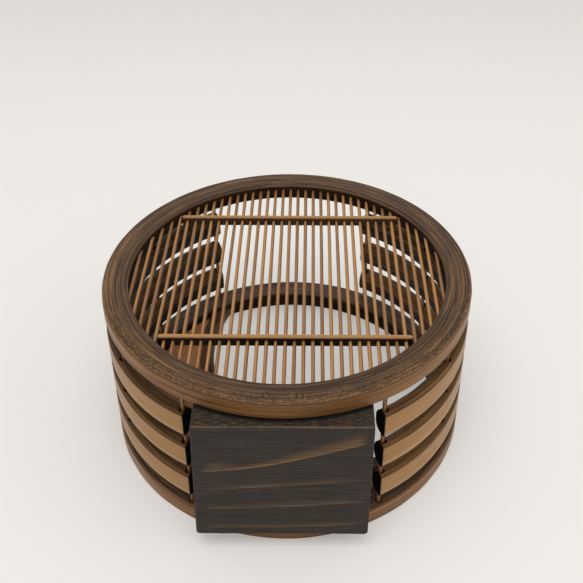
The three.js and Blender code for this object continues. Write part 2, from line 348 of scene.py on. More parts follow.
def ring_piece(
    node, holes, hole_radius, hole_depth, top_edge, near_wear_and_darkening, lining_drop, tones, materials, seed
):
    """A ring turned about the drum's axis.

    Its section is carried round the axis. Its walls wander by a few hundredths of a millimetre, as a sum of
    sines of the angle, shallow grooves on its top show where its bent plies meet, its innermost ply lies
    lower by lining_drop, and its top sinks where a peg or rod goes in. The faces of its inner wall take the
    second material. tones are how light its top, and its walls on the left and on the right, are painted,
    as painted light and shade.
    """
    low, high = corners(node)
    outer = sizes().ring_radius
    inner = outer - sizes().ring_width
    edge = sizes().ring_edge
    radius, height, girth, up = rounded_section(
        inner, outer, low[2], high[2], (edge, top_edge, edge, edge), (0.0014, 0.0007, 0.00025, 0.0009)
    )
    centre = drum_centre()
    bearings = np.arctan2(*(holes - centre).T[::-1])
    angles = np.linspace(0, 2 * np.pi, 440, endpoint=False)
    angles = refined(angles, bearings, hole_radius * 1.3 / outer, 0.00022 / outer)
    angles = in_order(np.mod(angles, 2 * np.pi))
    turn = angles[:, None]
    top = smooth(up, 0.35, 0.95)
    across = (radius - inner) / (outer - inner)
    ply_tone, joint = ply_pattern(across, turn, seed, 8)
    wander, groove, ripple = 0.00006, 0.00016, 0.00004
    around = radius + wander * waves(turn, seed, 7, 3, 40) * np.sqrt(1 - np.clip(up, -1, 1) ** 2)
    x = centre[0] + around * np.cos(turn)
    y = centre[1] + around * np.sin(turn)
    hole = pits(x, y, holes, hole_radius) * top
    rise = ripple * waves(turn + across, seed + 9, 6, 5, 60) - groove * joint
    z = height + rise * top - hole_depth * hole
    lining = sizes().lining_width / (outer - inner)
    z = z - lining_drop * smooth(across, 1.2 * lining, 0.85 * lining) * smooth(up, -0.1, 0.3)
    if lining_drop:
        joint = np.maximum(joint, bell(across - lining, 0.015))
    towards_near = np.cos(turn + math.pi / 2)
    near = smooth(towards_near, -0.2, 0.55)
    near_right = smooth(np.cos(turn + math.pi / 4), 0.8, 0.98)
    wear = near_wear_and_darkening * near * smooth(across + 0.05 * waves(turn, seed + 5, 5, 4, 30), 0.4, 1.0) * top
    walls = (tones[1] + tones[2]) / 2 + (tones[2] - tones[1]) / 2 * np.cos(turn)
    tone = walls + (tones[0] - walls) * top + 0.05 * waves(turn, seed + 3, 5, 1, 7)
    # On the near side the top is darker towards the middle and the right, and the outer wall darker above the
    # block.
    tone = tone + (0.13 * ply_tone - near_wear_and_darkening * (0.12 * near + 0.13 * near_right)) * top
    tone = tone - 0.26 * near_wear_and_darkening * smooth(towards_near, 0.8, 0.98) * (1 - top)
    side = smooth(np.where(across > 0.5, 1 - np.abs(up), 0), 0.2, 0.9)
    marks = {
        "fibre": (outer * np.cos(turn), outer * np.sin(turn), girth),
        "paint": (tone, np.maximum(hole, 0.75 * joint * top), wear),
        "zone": (top, side, across),
    }
    on_wall = np.isclose(radius, inner)
    slots = np.tile(on_wall & np.roll(on_wall, -1), len(angles))
    return piece(node, vectors(x, y, z), marks, materials, closed_path=True, slots=slots)


def round_bar(
    node, axis, radius, seed, materials, stations=44, facets=14, bow=0.0001, dome=0.0, top_drop=0.0
):
    """A round bar along one axis, between the ends of its CAD node.

    Its radius wavers by a few hundredths, its middle line bows by a sum of two sines of the distance along
    it, and its far end is rounded over by dome and lies lower than its CAD node's by top_drop.
    """
    low, high = corners(node)
    high = high - np.eye(3)[axis] * top_drop
    start, finish = low[axis], high[axis]
    along = np.linspace(start, finish, stations)
    shrink = np.ones(stations)
    if dome:
        along = np.concatenate([along[:-1], finish - dome * np.array([0.6, 0.3, 0.1, 0])])
        along[-5] = finish - dome
        along.sort()
        shrink = np.sqrt(1 - np.clip((along - (finish - dome)) / dome, 0, 1) ** 2 * 0.93)
    share = (along - start) / (finish - start)
    turn = np.linspace(0, 2 * np.pi, facets, endpoint=False)
    wavering = 1 + 0.025 * waves(share, seed, 5, 3, 40)[:, None] + 0.02 * np.cos(2 * turn + seed)
    section = radius * shrink[:, None] * wavering
    chance = np.random.default_rng(seed)
    others = [other for other in range(3) if other != axis]
    points = np.zeros((len(along), facets, 3))
    points[..., axis] = along[:, None]
    for other, swing in zip(others, (np.cos(turn), np.sin(turn))):
        bend = chance.uniform(-1, 1) * np.sin(np.pi * share)
        bend += chance.uniform(-1, 1) * np.sin(2 * np.pi * share)
        points[..., other] = ((low + high) / 2)[other] + bow * bend[:, None] + section * swing
    marks = {
        "fibre": (along[:, None] + seed * 0.37, radius * np.cos(turn), radius * np.sin(turn)),
        "paint": (chance.uniform(0, 1), 0.0, share[:, None]),
    }
    return piece(node, points, marks, materials)


def slat_section(height, depth, bevel_depth, bevel_height, fullness):
    """Section of a slat in its own frame: a flat outer face, a bevel at each side and a full, rounded back.

    The back is a superellipse with fullness for its exponent, and each bevel is a straight line that bulges
    as half a sine. Gives distance inwards from the outer face, height, and how much each point belongs to
    the face and the bevels.
    """
    half = height / 2
    flat = half - bevel_height
    rim, bulge_depth, back_points = 0.0002, 0.00022, 65
    straight = np.linspace(-flat + 0.001, flat - 0.001, 11)
    rise = np.concatenate([[-flat, -flat + rim], straight, [flat - rim, flat]])
    on_face = np.minimum(1, (flat - np.abs(rise)) / rim)
    face = np.column_stack([np.zeros(len(rise)), rise, on_face, 1 - on_face])
    share = np.linspace(0, 1, 7)[1:-1]
    bulge = bulge_depth * np.sin(np.pi * share)
    inward = share * bevel_depth - bulge * 0.8
    upward = flat + share * bevel_height + bulge * 0.5
    bevel = np.column_stack([inward, upward, np.zeros(len(share)), np.ones(len(share))])
    turn = np.linspace(math.pi / 2, -math.pi / 2, back_points)
    inward = bevel_depth + np.abs(np.cos(turn)) ** (2 / fullness) * (depth - bevel_depth)
    upward = np.sign(np.sin(turn)) * np.abs(np.sin(turn)) ** (2 / fullness) * half
    bevels = smooth(inward, bevel_depth * 1.5, bevel_depth)
    back = np.column_stack([inward, upward, np.zeros(back_points), bevels])
    mirrored = bevel[::-1] * np.array([1, -1, 1, 1])
    return np.concatenate([face, bevel, back, mirrored]).T


def slat_piece(node, side, materials, seed):
    """A bent half-round slat on the right, side 1, or on the left, side -1, bored for its rods.

    Its section is carried round the drum's axis between its two ends. Its skin ripples by a few hundredths
    of a millimetre, and its top and bottom sink where a rod passes through. Its ends take the second
    material, and its bevels and skin the third.
    """
    low, high = corners(node)
    own = sizes()
    outer, hole_radius = own.ring_radius, own.rod_hole
    centre = drum_centre()
    rods = places(RODS)
    rods = rods[rods[:, 0] * side > 0]
    bearings = np.arctan2(rods[:, 1] - centre[1], (rods[:, 0] - centre[0]) * side)
    inward, upward, face, bevel = slat_section(
        high[2] - low[2], own.slat_depth, own.slat_bevel_depth, own.slat_bevel_height, FULLNESS[side]
    )
    half_angle = bearings.max() + own.slat_overhang / (outer - own.slat_depth / 2)
    angles = np.linspace(-half_angle, half_angle, 150)
    angles = refined(angles, bearings, hole_radius * 1.35 / outer, 0.00028 / outer)
    angles = in_order(angles[np.abs(angles) <= half_angle])
    angles[0], angles[-1] = -half_angle, half_angle
    turn = angles[:, None]
    ripple, waver, sink, charred = 0.00005, 0.00012, 0.35, 0.0009
    radius = outer - inward + ripple * waves(turn * 3, seed, 6, 2, 30) * (1 - face)
    x = centre[0] + side * radius * np.cos(turn)
    y = centre[1] + radius * np.sin(turn)
    steep = smooth(np.abs(upward), 0.35 * upward.max(), 0.8 * upward.max()) * (1 - face)
    hole = pits(x, y, rods, hole_radius) * steep
    # The near-black round each rod is painted wider than the hole, as shade in the hollow.
    rim = pits(x, y, rods, hole_radius * 1.1) * steep
    level = (low[2] + high[2]) / 2 + waver * waves(turn, seed + 1, 3, 2, 7)
    ends = smooth(np.abs(turn) * outer, half_angle * outer - charred, half_angle * outer)
    tone = np.random.default_rng(seed).uniform(0, 1)
    marks = {
        "fibre": (outer * turn + seed, seed * 0.11, distances(inward, upward)),
        # The third part of paint marks the left slats, whose face and skin are painted darker, as shade.
        "paint": (tone, np.maximum(rim, 0.8 * ends), float(side < 0)),
        "zone": (face, bevel, upward / upward.max()),
    }
    skin = inward > 0
    slots = np.concatenate([np.tile(2 * (skin & np.roll(skin, -1)), len(angles) - 1), [1, 1]])
    return piece(node, vectors(x, y, level + upward * (1 - sink * hole)), marks, materials, slots=slots)


def batten_piece(node, materials, seed):
    """A strip across the sticks, crowned on top and rounded at its ends, with a hollow round each stick.

    Its section is a rounded box that is carried along X. Its width falls to the ends as a quarter circle
    does, and the crown is a parabola.
    """
    low, high = corners(node)
    half_width = (high[1] - low[1]) / 2
    nose, crown = sizes().batten_nose, sizes().batten_crown
    quarter = nose * (1 - np.cos(np.linspace(0.12, math.pi / 2, 9)))
    straight = np.arange(low[0] + nose, high[0] - nose, 0.0004)[1:]
    along = np.concatenate([low[0] + quarter, straight, high[0] - quarter[::-1]])[:, None]
    offset, height, girth, up = rounded_section(
        -half_width, half_width, low[2], high[2] - crown, (0.0004, 0.0004, 0.0007, 0.0007),
        (0.0012, 0.0003, 0.0006, 0.0003),
    )
    into_end = np.clip(np.maximum(low[0] + nose - along, along - high[0] + nose) / nose, 0, 1)
    narrow = np.sqrt(1 - into_end ** 2) * 0.86 + 0.14
    rise = crown * (1 - (offset / half_width) ** 2) * smooth(up, 0.1, 0.9)
    sticks = places(STICKS)[:, 0]
    sticks = sticks[(sticks > low[0]) & (sticks < high[0])]
    across = np.min(np.abs(along - sticks), 1)[:, None]
    away = np.hypot(across, height - middle(STICKS[0])[2])
    sunk = (1 - smooth(away, 0.0012, 0.00175)) * smooth(np.abs(up), 0.4, 0.0)
    sink, end_drop, waver = 0.0006, 0.0007, 0.00008
    y = (low[1] + high[1]) / 2 + offset * narrow - sink * sunk * np.sign(offset)
    z = height + rise * narrow - end_drop * (1 - narrow) * smooth(up, 0.1, 0.9)
    marks = {
        "fibre": (along + seed, 0.0, girth),
        # The first part of paint picks the batten whose sides are painted lighter, as light; the second marks
        # the hollows, painted near-black as shade.
        "paint": (seed % 2, sunk, 0.0),
        "zone": (smooth(up, 0.35, 0.9), offset / half_width, 0.0),
    }
    return piece(node, vectors(along, y + waver * waves(along * 60, seed, 5, 1, 9), z), marks, materials)


def spread(margin, count):
    """Numbers from -1 to 1, count of them evenly spaced and a few more close together near both ends."""
    end = np.linspace(0, margin, 6)[:-1]
    return 2 * np.concatenate([end, np.linspace(margin, 1 - margin, count), 1 - end[::-1]]) - 1


def block_piece(node, materials):
    """The base block: a box whose corners are rounded, with brushed grain on its faces.

    Six grids cover a box. A point is held inside the box that is smaller by the rounding, and then moved out
    from there by the rounding, once in the plane of the front face and once towards it. Both sides lean to
    the left evenly towards the floor, the left side more. Sines of its height, wandering along X, raise and
    sink the grain.
    """
    low, high = corners(node)
    half = (high - low) / 2
    half_face = half[[0, 2]]
    corner, edge = sizes().block_corner, sizes().block_edge
    shares = {0: spread(0.035, 60), 1: spread(0.1, 12), 2: spread(0.035, 60)}
    grids, faces, start = [], [], 0
    for axis in range(3):
        first, second = (axis + 1) % 3, (axis + 2) % 3
        for way in (-1, 1):
            grid = np.full((len(shares[first]), len(shares[second]), 3), float(way))
            grid[..., first] = shares[first][:, None]
            grid[..., second] = shares[second]
            quads = start + open_faces(*grid.shape[:2])
            faces += (quads if way > 0 else quads[:, ::-1]).tolist()
            grids.append(grid.reshape(-1, 3))
            start += len(grids[-1])
    box = np.concatenate(grids) * half
    flat, y = box[:, [0, 2]], box[:, 1]
    rim = smooth(np.max(np.abs(flat) / half_face, 1), 0.9, 1.0)
    held = np.clip(flat, corner - half_face, half_face - corner)
    out = flat - held
    reach = np.linalg.norm(out, axis=1, keepdims=True)
    square = np.maximum(np.abs(out).max(1, keepdims=True), 1e-9)
    flat = held + out * np.where(reach > 0, square / np.maximum(reach, 1e-9), 1)
    into = np.clip((np.abs(y) - (half[1] - edge)) / edge, 0, 1)
    rounding = edge * (1 - np.sqrt(1 - into ** 2)) * rim
    flat = flat * (1 - rounding[:, None] / half_face)
    flare = sizes().block_flare * np.clip(-flat[:, 0] / half[0], 0, 1)
    lean = sizes().block_lean * np.clip(flat[:, 0] / half[0], 0, 1)
    x, z = flat[:, 0] - (flare + lean) * (0.5 - flat[:, 1] / half[2] / 2), flat[:, 1]
    grain_depth, wobble_depth, weld = 0.00005, 0.0001, 0.000002
    grain = grain_depth * (waves(z * 900 + 0.8 * np.sin(x * 40), 77, 9, 1, 4) - 1.2)
    wobble = wobble_depth * (waves(x * 120, 78, 5, 1, 6) - 1)
    y = y + np.where(np.abs(y) > half[1] * 0.999, grain, 0) * np.sign(y)
    z = z + np.where(np.abs(z) > half[2] * 0.97, wobble, 0) * np.sign(z)
    mesh = bpy.data.meshes.new(node)
    mesh.from_pydata((vectors(x, y, z) + middle(node)).tolist(), [], faces)
    whole = bmesh.new()
    whole.from_mesh(mesh)
    bmesh.ops.remove_doubles(whole, verts=whole.verts, dist=weld)
    points = np.array([vertex.co[:] for vertex in whole.verts])
    faces = [[vertex.index for vertex in face.verts] for face in whole.faces]
    whole.free()
    bpy.data.meshes.remove(mesh)
    # How near each point lies to the front top edge, which is painted lighter, partly wear and partly a
    # painted highlight.
    from_edge = np.maximum(points[:, 1] - low[1], high[2] - points[:, 2])
    arris = smooth(from_edge, edge * 1.1, edge * 0.6)
    return piece(node, points, {"paint": (0.0, 0.0, arris)}, materials, faces)


def window_centre():
    """Centre of the panel and strip's common circle, from the strip's own box and its outer radius."""
    low, _ = corners("window_strip")
    return low[:2] + sizes().window_radius + sizes().strip_width


# Section of the window strip: shares of its width outwards and of its height upwards
STRIP_OUTLINE = (
    (0.0, 0.08), (0.08, 0.0), (0.5, 0.0), (0.92, 0.0), (1.0, 0.08), (1.0, 0.3), (1.0, 0.55), (1.0, 0.8),
    (0.985, 0.95), (0.93, 1.0), (0.8, 1.0), (0.65, 1.0), (0.5, 1.0), (0.43, 0.98), (0.405, 0.9), (0.38, 0.82),
    (0.355, 0.86), (0.33, 0.93), (0.2, 0.95), (0.08, 0.93), (0.02, 0.86), (0.0, 0.6), (0.0, 0.3),
)


def strip_piece(node, materials):
    """The strip along the window: a two-ply section carried along an arc about the window's centre.

    The inner ply stands a little lower than the outer one, with a groove between them, and both ends run on
    inside the front ring.
    """
    low, high = corners(node)
    centre, drum = window_centre(), drum_centre()
    inner = sizes().window_radius
    outward, upward = np.array(STRIP_OUTLINE).T
    radius = inner + outward * sizes().strip_width
    height = low[2] + upward * (high[2] - low[2])
    angles = np.linspace(0, 2 * np.pi, 1441)
    reach = np.hypot(*(centre[:, None] + inner * np.vstack([np.cos(angles), np.sin(angles)]) - drum[:, None]))
    away = np.arctan2(*(drum - centre)[::-1])
    turned = np.mod(angles - away + np.pi, 2 * np.pi) - np.pi
    run_on, groove_at, waver = 0.0012, 0.38, 0.00005
    half = turned[reach < sizes().ring_radius - sizes().ring_width + run_on].max()
    turn = (away + np.linspace(-half, half, 260))[:, None]
    x = centre[0] + radius * np.cos(turn)
    y = centre[1] + radius * np.sin(turn)
    groove = bell(outward - groove_at, 0.03) * (upward > 0.5)
    marks = {"fibre": (inner * turn, 0.0, distances(radius, height)), "paint": (0.0, groove, 0.0)}
    return piece(node, vectors(x, y, height + waver * waves(turn, 9, 5, 10, 60)), marks, materials)


def panel_piece(node, materials):
    """The crescent between the front ring and the window strip: a thin plate with both edges in grooves.

    Rays from the window's centre carry it from the strip's circle to the ring's circle, top and underside.
    """
    low, high = corners(node)
    centre = window_centre()
    groove = sizes().panel_tongue
    start = sizes().window_radius + sizes().strip_width - groove
    finish = sizes().ring_radius - sizes().ring_width + groove
    toward = drum_centre() - centre
    shift = np.linalg.norm(toward)
    away = math.atan2(toward[1], toward[0])
    widest = math.acos(np.clip((shift ** 2 + start ** 2 - finish ** 2) / (2 * shift * start), -1, 1))
    turn = np.linspace(-widest * 0.999, widest * 0.999, 240)[:, None]
    outer = shift * np.cos(turn) + np.sqrt(finish ** 2 - (shift * np.sin(turn)) ** 2)
    steps, ripple_height = 30, 0.00012
    share = np.linspace(0, 1, steps)
    share = np.concatenate([share, share[::-1]])
    radius = start + (outer - start) * share
    x = centre[0] + radius * np.cos(away + turn)
    y = centre[1] + radius * np.sin(away + turn)
    ripple = ripple_height * waves(x * 90 + y * 70, 15, 6, 1, 5) * np.sin(np.pi * share)
    return piece(node, vectors(x, y, np.repeat([high[2], low[2]], steps) + ripple), {}, materials)


# Node groups and materials

class Graph:
    """Adds nodes to a tree. An input that is given a socket is linked to it, and one given a value is set."""

    def __init__(self, tree):
        self.tree = tree

    def feed(self, socket, value):
        if isinstance(value, bpy.types.NodeSocket):
            self.tree.links.new(value, socket)
        else:
            socket.default_value = (*value, 1) if socket.type == "RGBA" else value

    def node(self, kind, inputs=(), **settings):
        made = self.tree.nodes.new(kind)
        for label, value in settings.items():
            setattr(made, label, value)
        for key, value in dict(inputs).items():
            self.feed(made.inputs[key], value)
        return made

    def math(self, operation, *values):
        return self.node("ShaderNodeMath", dict(enumerate(values)), operation=operation).outputs[0]

    def combined(self, operation, first, *others):
        for other in others:
            first = self.math(operation, first, other)
        return first

    def product(self, *values):
        return self.combined("MULTIPLY", *values)

    def total(self, *values):
        return self.combined("ADD", *values)

    def largest(self, *values):
        return self.combined("MAXIMUM", *values)

    def strongest(self, *shares):
        """The largest of some values, each multiplied by what stands beside it."""
        return self.largest(*(self.product(*share) for share in shares))

    def weighted(self, *shares):
        """The sum of some values, each multiplied by what stands beside it."""
        return self.total(*(self.product(*share) for share in shares))

    def slope(self, value, start, end, low=0.0, high=1.0):
        """low up to start, high from end, with a smooth step between."""
        inputs = {"Value": value, "From Min": start, "From Max": end, "To Min": low, "To Max": high}
        return self.node("ShaderNodeMapRange", inputs, interpolation_type="SMOOTHSTEP").outputs[0]

    def eased(self, value, low, high):
        """low where the value is 0, high where it is 1, with a smooth step between."""
        return self.slope(value, 0.0, 1.0, low, high)

    def mix(self, share, first, second, blend="MIX"):
        inputs = {0: share, 6: first, 7: second}
        return self.node("ShaderNodeMix", inputs, data_type="RGBA", blend_type=blend).outputs[2]

    def scaled(self, tint, share):
        return self.mix(1.0, tint, self.join(share, share, share), blend="MULTIPLY")

    def attribute(self, name):
        return self.node("ShaderNodeAttribute", attribute_name=name).outputs["Vector"]

    def parts(self, vector):
        return tuple(self.node("ShaderNodeSeparateXYZ", {0: vector}).outputs)

    def mark(self, name):
        """The three parts of one of the piece's attributes."""
        return self.parts(self.attribute(name))

    def join(self, x, y, z):
        return self.node("ShaderNodeCombineXYZ", {0: x, 1: y, 2: z}).outputs[0]

    def length(self, x, y, z):
        return self.node("ShaderNodeVectorMath", {0: self.join(x, y, z)}, operation="LENGTH").outputs["Value"]

    def place(self):
        return self.node("ShaderNodeTexCoord").outputs["Object"]

    def noise(self, scale, detail):
        inputs = {"Vector": self.place(), "Scale": scale, "Detail": detail}
        return self.node("ShaderNodeTexNoise", inputs).outputs[0]

    def group(self, name, **inputs):
        made = self.node("ShaderNodeGroup", node_tree=shader_group(name))
        for label, value in inputs.items():
            self.feed(made.inputs[label.capitalize()], value)
        return made.outputs

    def streaks(self, along, across, seed, low, high, fibre=None, straight=False):
        """Streaks with that many wavers to the metre along and across. A straight bar has two ways across."""
        fibre = self.attribute("fibre") if fibre is None else fibre
        squeeze = (along, across if straight else along, across)
        return self.group("Fibre streaks", fibre=fibre, squeeze=squeeze, seed=seed, low=low, high=high)[0]

    def stained(self, base, dark, light, darker, lighter, shade=0.0):
        tints = {"base": base, "dark": dark, "light": light}
        return self.group("Stained colour", **tints, darker=darker, lighter=lighter, shade=shade)[0]

    def stick_rims(self, radius):
        """1 close round each place where a stick goes in."""
        first, second = middle(STICKS[0]), middle(STICKS[1])
        pitch, level = float(second[0] - first[0]), float(first[2])
        return self.group("Stick rims", place=self.place(), pitch=pitch, level=level, radius=radius)[0]


class Material(Graph):
    """A material with a principled shader whose plain values are set on its own sockets."""

    def __init__(self, name, specular, roughness=0.5, coat=0.0, sheen=0.0):
        self.material = bpy.data.materials.new(name)
        self.material.use_nodes = True
        super().__init__(self.material.node_tree)
        self.tree.nodes.clear()
        plain = {"Specular IOR Level": specular, "Roughness": roughness}
        plain |= {"Coat Weight": coat, "Coat Roughness": 0.3}
        plain |= {"Sheen Weight": sheen, "Sheen Roughness": 0.35}
        self.shader = self.node("ShaderNodeBsdfPrincipled", plain)
        self.output = self.node("ShaderNodeOutputMaterial", {"Surface": self.shader.outputs[0]})

    def finish(self, shown, height, distance, **varying):
        """Feeds the shader its colour, its bumps and whatever else varies, and gives the material."""
        inputs = {"Height": height, "Distance": distance, "Strength": 0.6}
        varying |= {"Base Color": shown, "Normal": self.node("ShaderNodeBump", inputs).outputs[0]}
        for label, value in varying.items():
            self.feed(self.shader.inputs[label], value)
        return self.material


def fibre_streaks(graph, given, result):
    """Long streaks along the fibres: noise squeezed across them, cut off softly between two levels."""
    inputs = {0: given["Fibre"], 1: given["Squeeze"]}
    squeezed = graph.node("ShaderNodeVectorMath", inputs, operation="MULTIPLY").outputs[0]
    inputs = {"Vector": squeezed, "W": given["Seed"], "Scale": 1.0, "Detail": 3.0, "Roughness": 0.6}
    noise = graph.node("ShaderNodeTexNoise", inputs, noise_dimensions="4D").outputs[0]
    graph.feed(result["Streaks"], graph.slope(noise, given["Low"], given["High"]))


def stained_colour(graph, given, result):
    """A stain over bamboo: the base, darker and lighter streaks, and a near-black shade for holes."""
    darkened = graph.mix(given["Darker"], given["Base"], given["Dark"])
    lit = graph.mix(given["Lighter"], darkened, given["Light"])
    graph.feed(result["Colour"], graph.mix(given["Shade"], lit, HOLE_SHADE))


def stick_rims(graph, given, result):
    """1 close round each stick, from the distance to the nearest of a row of evenly spaced axes."""
    x, _, z = graph.parts(given["Place"])
    nearest = graph.product(graph.math("ROUND", graph.math("DIVIDE", x, given["Pitch"])), given["Pitch"])
    across = graph.math("SUBTRACT", x, nearest)
    above = graph.math("SUBTRACT", z, given["Level"])
    away = graph.math("DIVIDE", graph.length(across, above, 0.0), given["Radius"])
    graph.feed(result["Rims"], graph.slope(away, 1.15, 0.85))


def twill_weave(graph, given, result):
    """Two-over, two-under weave of flat strips.

    Gives the rounded height of the strip on top, its tone, 1 where it runs down, and a place along it.
    """
    x, y, _ = graph.parts(given["Place"])
    u, v = (graph.math("DIVIDE", part, given["Width"]) for part in (x, y))
    column, row = graph.math("FLOOR", u), graph.math("FLOOR", v)

    def repeated(first, second):
        return graph.math("FLOORED_MODULO", graph.math("SUBTRACT", first, second), 4.0)

    over = graph.math("LESS_THAN", repeated(column, row), 1.5)
    under = graph.math("SUBTRACT", 1.0, over)

    def chosen(first, second):
        return graph.weighted((first, over), (second, under))

    across = graph.math("SUBTRACT", graph.math("FRACT", chosen(u, v)), 0.5)
    crown = graph.math("SUBTRACT", 1.0, graph.product(across, across, 4.0))
    along = chosen(repeated(v, column), repeated(u, row))
    dip = graph.math("ABSOLUTE", graph.math("SUBTRACT", along, 2.0))
    graph.feed(result["Height"], graph.weighted((crown, 0.7), (dip, 0.1)))
    number = chosen(column, graph.total(row, 57.0))
    tone = graph.node("ShaderNodeTexWhiteNoise", {"W": number}, noise_dimensions="1D").outputs["Value"]
    graph.feed(result["Strip"], tone)
    graph.feed(result["Over"], over)
    graph.feed(result["Run"], graph.join(chosen(y, x), number, chosen(x, y)))


# What builds each node group, and the names of its inputs and outputs by kind
GROUPS = {
    "Fibre streaks": (
        fibre_streaks, {"Vector": ("Fibre", "Squeeze"), "Float": ("Seed", "Low", "High")},
        {"Float": ("Streaks",)},
    ),
    "Stained colour": (
        stained_colour, {"Color": ("Base", "Dark", "Light"), "Float": ("Darker", "Lighter", "Shade")},
        {"Color": ("Colour",)},
    ),
    "Stick rims": (
        stick_rims, {"Vector": ("Place",), "Float": ("Pitch", "Level", "Radius")}, {"Float": ("Rims",)},
    ),
    "Twill weave": (
        twill_weave, {"Vector": ("Place",), "Float": ("Width",)},
        {"Float": ("Height", "Strip", "Over"), "Vector": ("Run",)},
    ),
}


def shader_group(name):
    """The shader node group of that name, built when it is first asked for."""
    if name not in bpy.data.node_groups:
        build, inputs, outputs = GROUPS[name]
        tree = bpy.data.node_groups.new(name, "ShaderNodeTree")
        for way, sockets in (("INPUT", inputs), ("OUTPUT", outputs)):
            for kind, labels in sockets.items():
                for label in labels:
                    tree.interface.new_socket(name=label, in_out=way, socket_type=f"NodeSocket{kind}")
        graph = Graph(tree)
        build(graph, graph.node("NodeGroupInput").outputs, graph.node("NodeGroupOutput").inputs)
    return bpy.data.node_groups[name]


# Linear colours of small details, among them painted shade and painted highlights
HOLE_BLACK = (0.004, 0.003, 0.002)
HOLE_SHADE = (0.006, 0.0045, 0.0035)
SKIN_BLACK = (0.012, 0.008, 0.004)
BEVEL_DARK = (0.03, 0.017, 0.008)
FACE_LIGHT = (0.55, 0.4, 0.24)
PORE_LIGHT = (0.013, 0.009, 0.006)
STICK_LIGHT = (0.6, 0.36, 0.15)
BATTEN_HIGHLIGHT = (0.6, 0.44, 0.24)
BATTEN_LINES = (0.008, 0.005, 0.003)
BATTEN_HOLE = (0.0025, 0.002, 0.0015)
BLOCK_TOP = (0.012, 0.0095, 0.0075)
BLOCK_ARRIS = (0.23, 0.152, 0.095)
BLOCK_CONTACT_SHADOW = (0.0015, 0.0012, 0.001)
WEAVE_LIGHT = (0.55, 0.3, 0.15)
PAPER_GRAIN = (0.7, 0.68, 0.66)
LAMP_WHITE = (1.0, 0.99, 0.97)
SKY_WHITE = (1.0, 0.994, 0.982)

# Radius of the painted shade round the sticks, in the rings' inner walls and in the battens
RING_RIM, BATTEN_RIM = 0.0018, 0.0021


def ring_bamboo(name, seed, level, specular, sheen, roughness):
    """Bent and stained plies: banded and streaked on top, smoother on the outer wall, near-black inside.

    Above level the inner wall shows the browner innermost ply.
    """
    tint = colours()
    graph = Material(name, specular, sheen=sheen)
    tone, shade, wear = graph.mark("paint")
    top, side, across = graph.mark("zone")
    bands = graph.streaks(7.0, 190.0, seed, 0.42, 0.62)
    lines = graph.streaks(11.0, 700.0, seed + 1, 0.47, 0.55)
    fine = graph.streaks(32.0, 1200.0, seed + 6, 0.44, 0.58)
    gold = graph.streaks(20.0, 900.0, seed + 2, 0.55, 0.62)
    flecks = graph.streaks(420.0, 1150.0, seed + 3, 0.48, 0.58)
    on_top = graph.stained(
        tint.ring_top, tint.ring_top_dark, tint.ring_gold, shade=shade,
        darker=graph.strongest((bands, 0.35), (lines, 0.75), (fine, 0.5)),
        lighter=graph.product(gold, graph.slope(across, 0.25, 0.95, 0.42, 0.54)),
    )
    worn = graph.product(wear, graph.eased(flecks, 0.05, 0.6), graph.eased(lines, 1.0, 0.45))
    on_top = graph.mix(worn, on_top, tint.ring_worn)
    bright = graph.product(wear, flecks, graph.eased(gold, 0.3, 0.85))
    on_top = graph.mix(bright, on_top, tint.ring_gold)
    soft_lines = graph.streaks(6.0, 500.0, seed + 4, 0.46, 0.55)
    soft_bands = graph.streaks(5.0, 260.0, seed + 5, 0.42, 0.6)
    hairs = graph.streaks(9.0, 1000.0, seed + 8, 0.47, 0.56)
    marks = graph.streaks(9.0, 480.0, seed + 9, 0.51, 0.56)
    on_side = graph.stained(
        tint.ring_side, tint.ring_side_dark, tint.ring_worn, lighter=graph.product(soft_bands, 0.55),
        darker=graph.strongest((soft_lines, 0.68), (hairs, 0.5), (marks, 0.95)),
    )
    inside = graph.mix(graph.product(fine, 0.2), tint.ring_inside, tint.ring_top)
    fade = 0.0008
    browner = graph.slope(graph.parts(graph.place())[2], level, level + fade, 0.0, 0.45)
    inside = graph.mix(browner, inside, tint.ring_top)
    # Round each stick the inner wall is painted near-black, as shade where it goes in.
    inside = graph.mix(graph.stick_rims(RING_RIM), inside, HOLE_BLACK)
    shown = graph.mix(top, graph.mix(side, inside, on_side), on_top)
    under = graph.product(graph.slope(top, 0.0, 0.03), graph.slope(top, 0.3, 0.08), 0.55, side)
    shown = graph.mix(under, shown, tint.ring_top_dark)
    arris = graph.product(
        graph.slope(top, 0.2, 0.5), graph.slope(top, 1.0, 0.75), graph.slope(wear, 0.05, 0.6),
        graph.eased(flecks, 0.15, 0.6),
    )
    shown = graph.scaled(graph.mix(arris, shown, tint.ring_gold), tone)
    rough = graph.weighted((lines, -0.6), (gold, 0.4), (fine, -0.3), (flecks, wear, 0.6))
    rough = graph.product(rough, graph.eased(top, 0.3, 1.0))
    polish = graph.eased(lines, roughness, roughness + 0.14)
    return graph.finish(shown, rough, distance=0.00022, Roughness=polish)


def ring_finishes(name, seed, level):
    """A ring's polished outside and dull inner wall."""
    return [
        ring_bamboo(f"{name} bamboo", seed, float(level), specular=0.22, sheen=0.07, roughness=0.4),
        ring_bamboo(f"{name} inner wall", seed, float(level), specular=0.08, sheen=0.0, roughness=0.8),
    ]


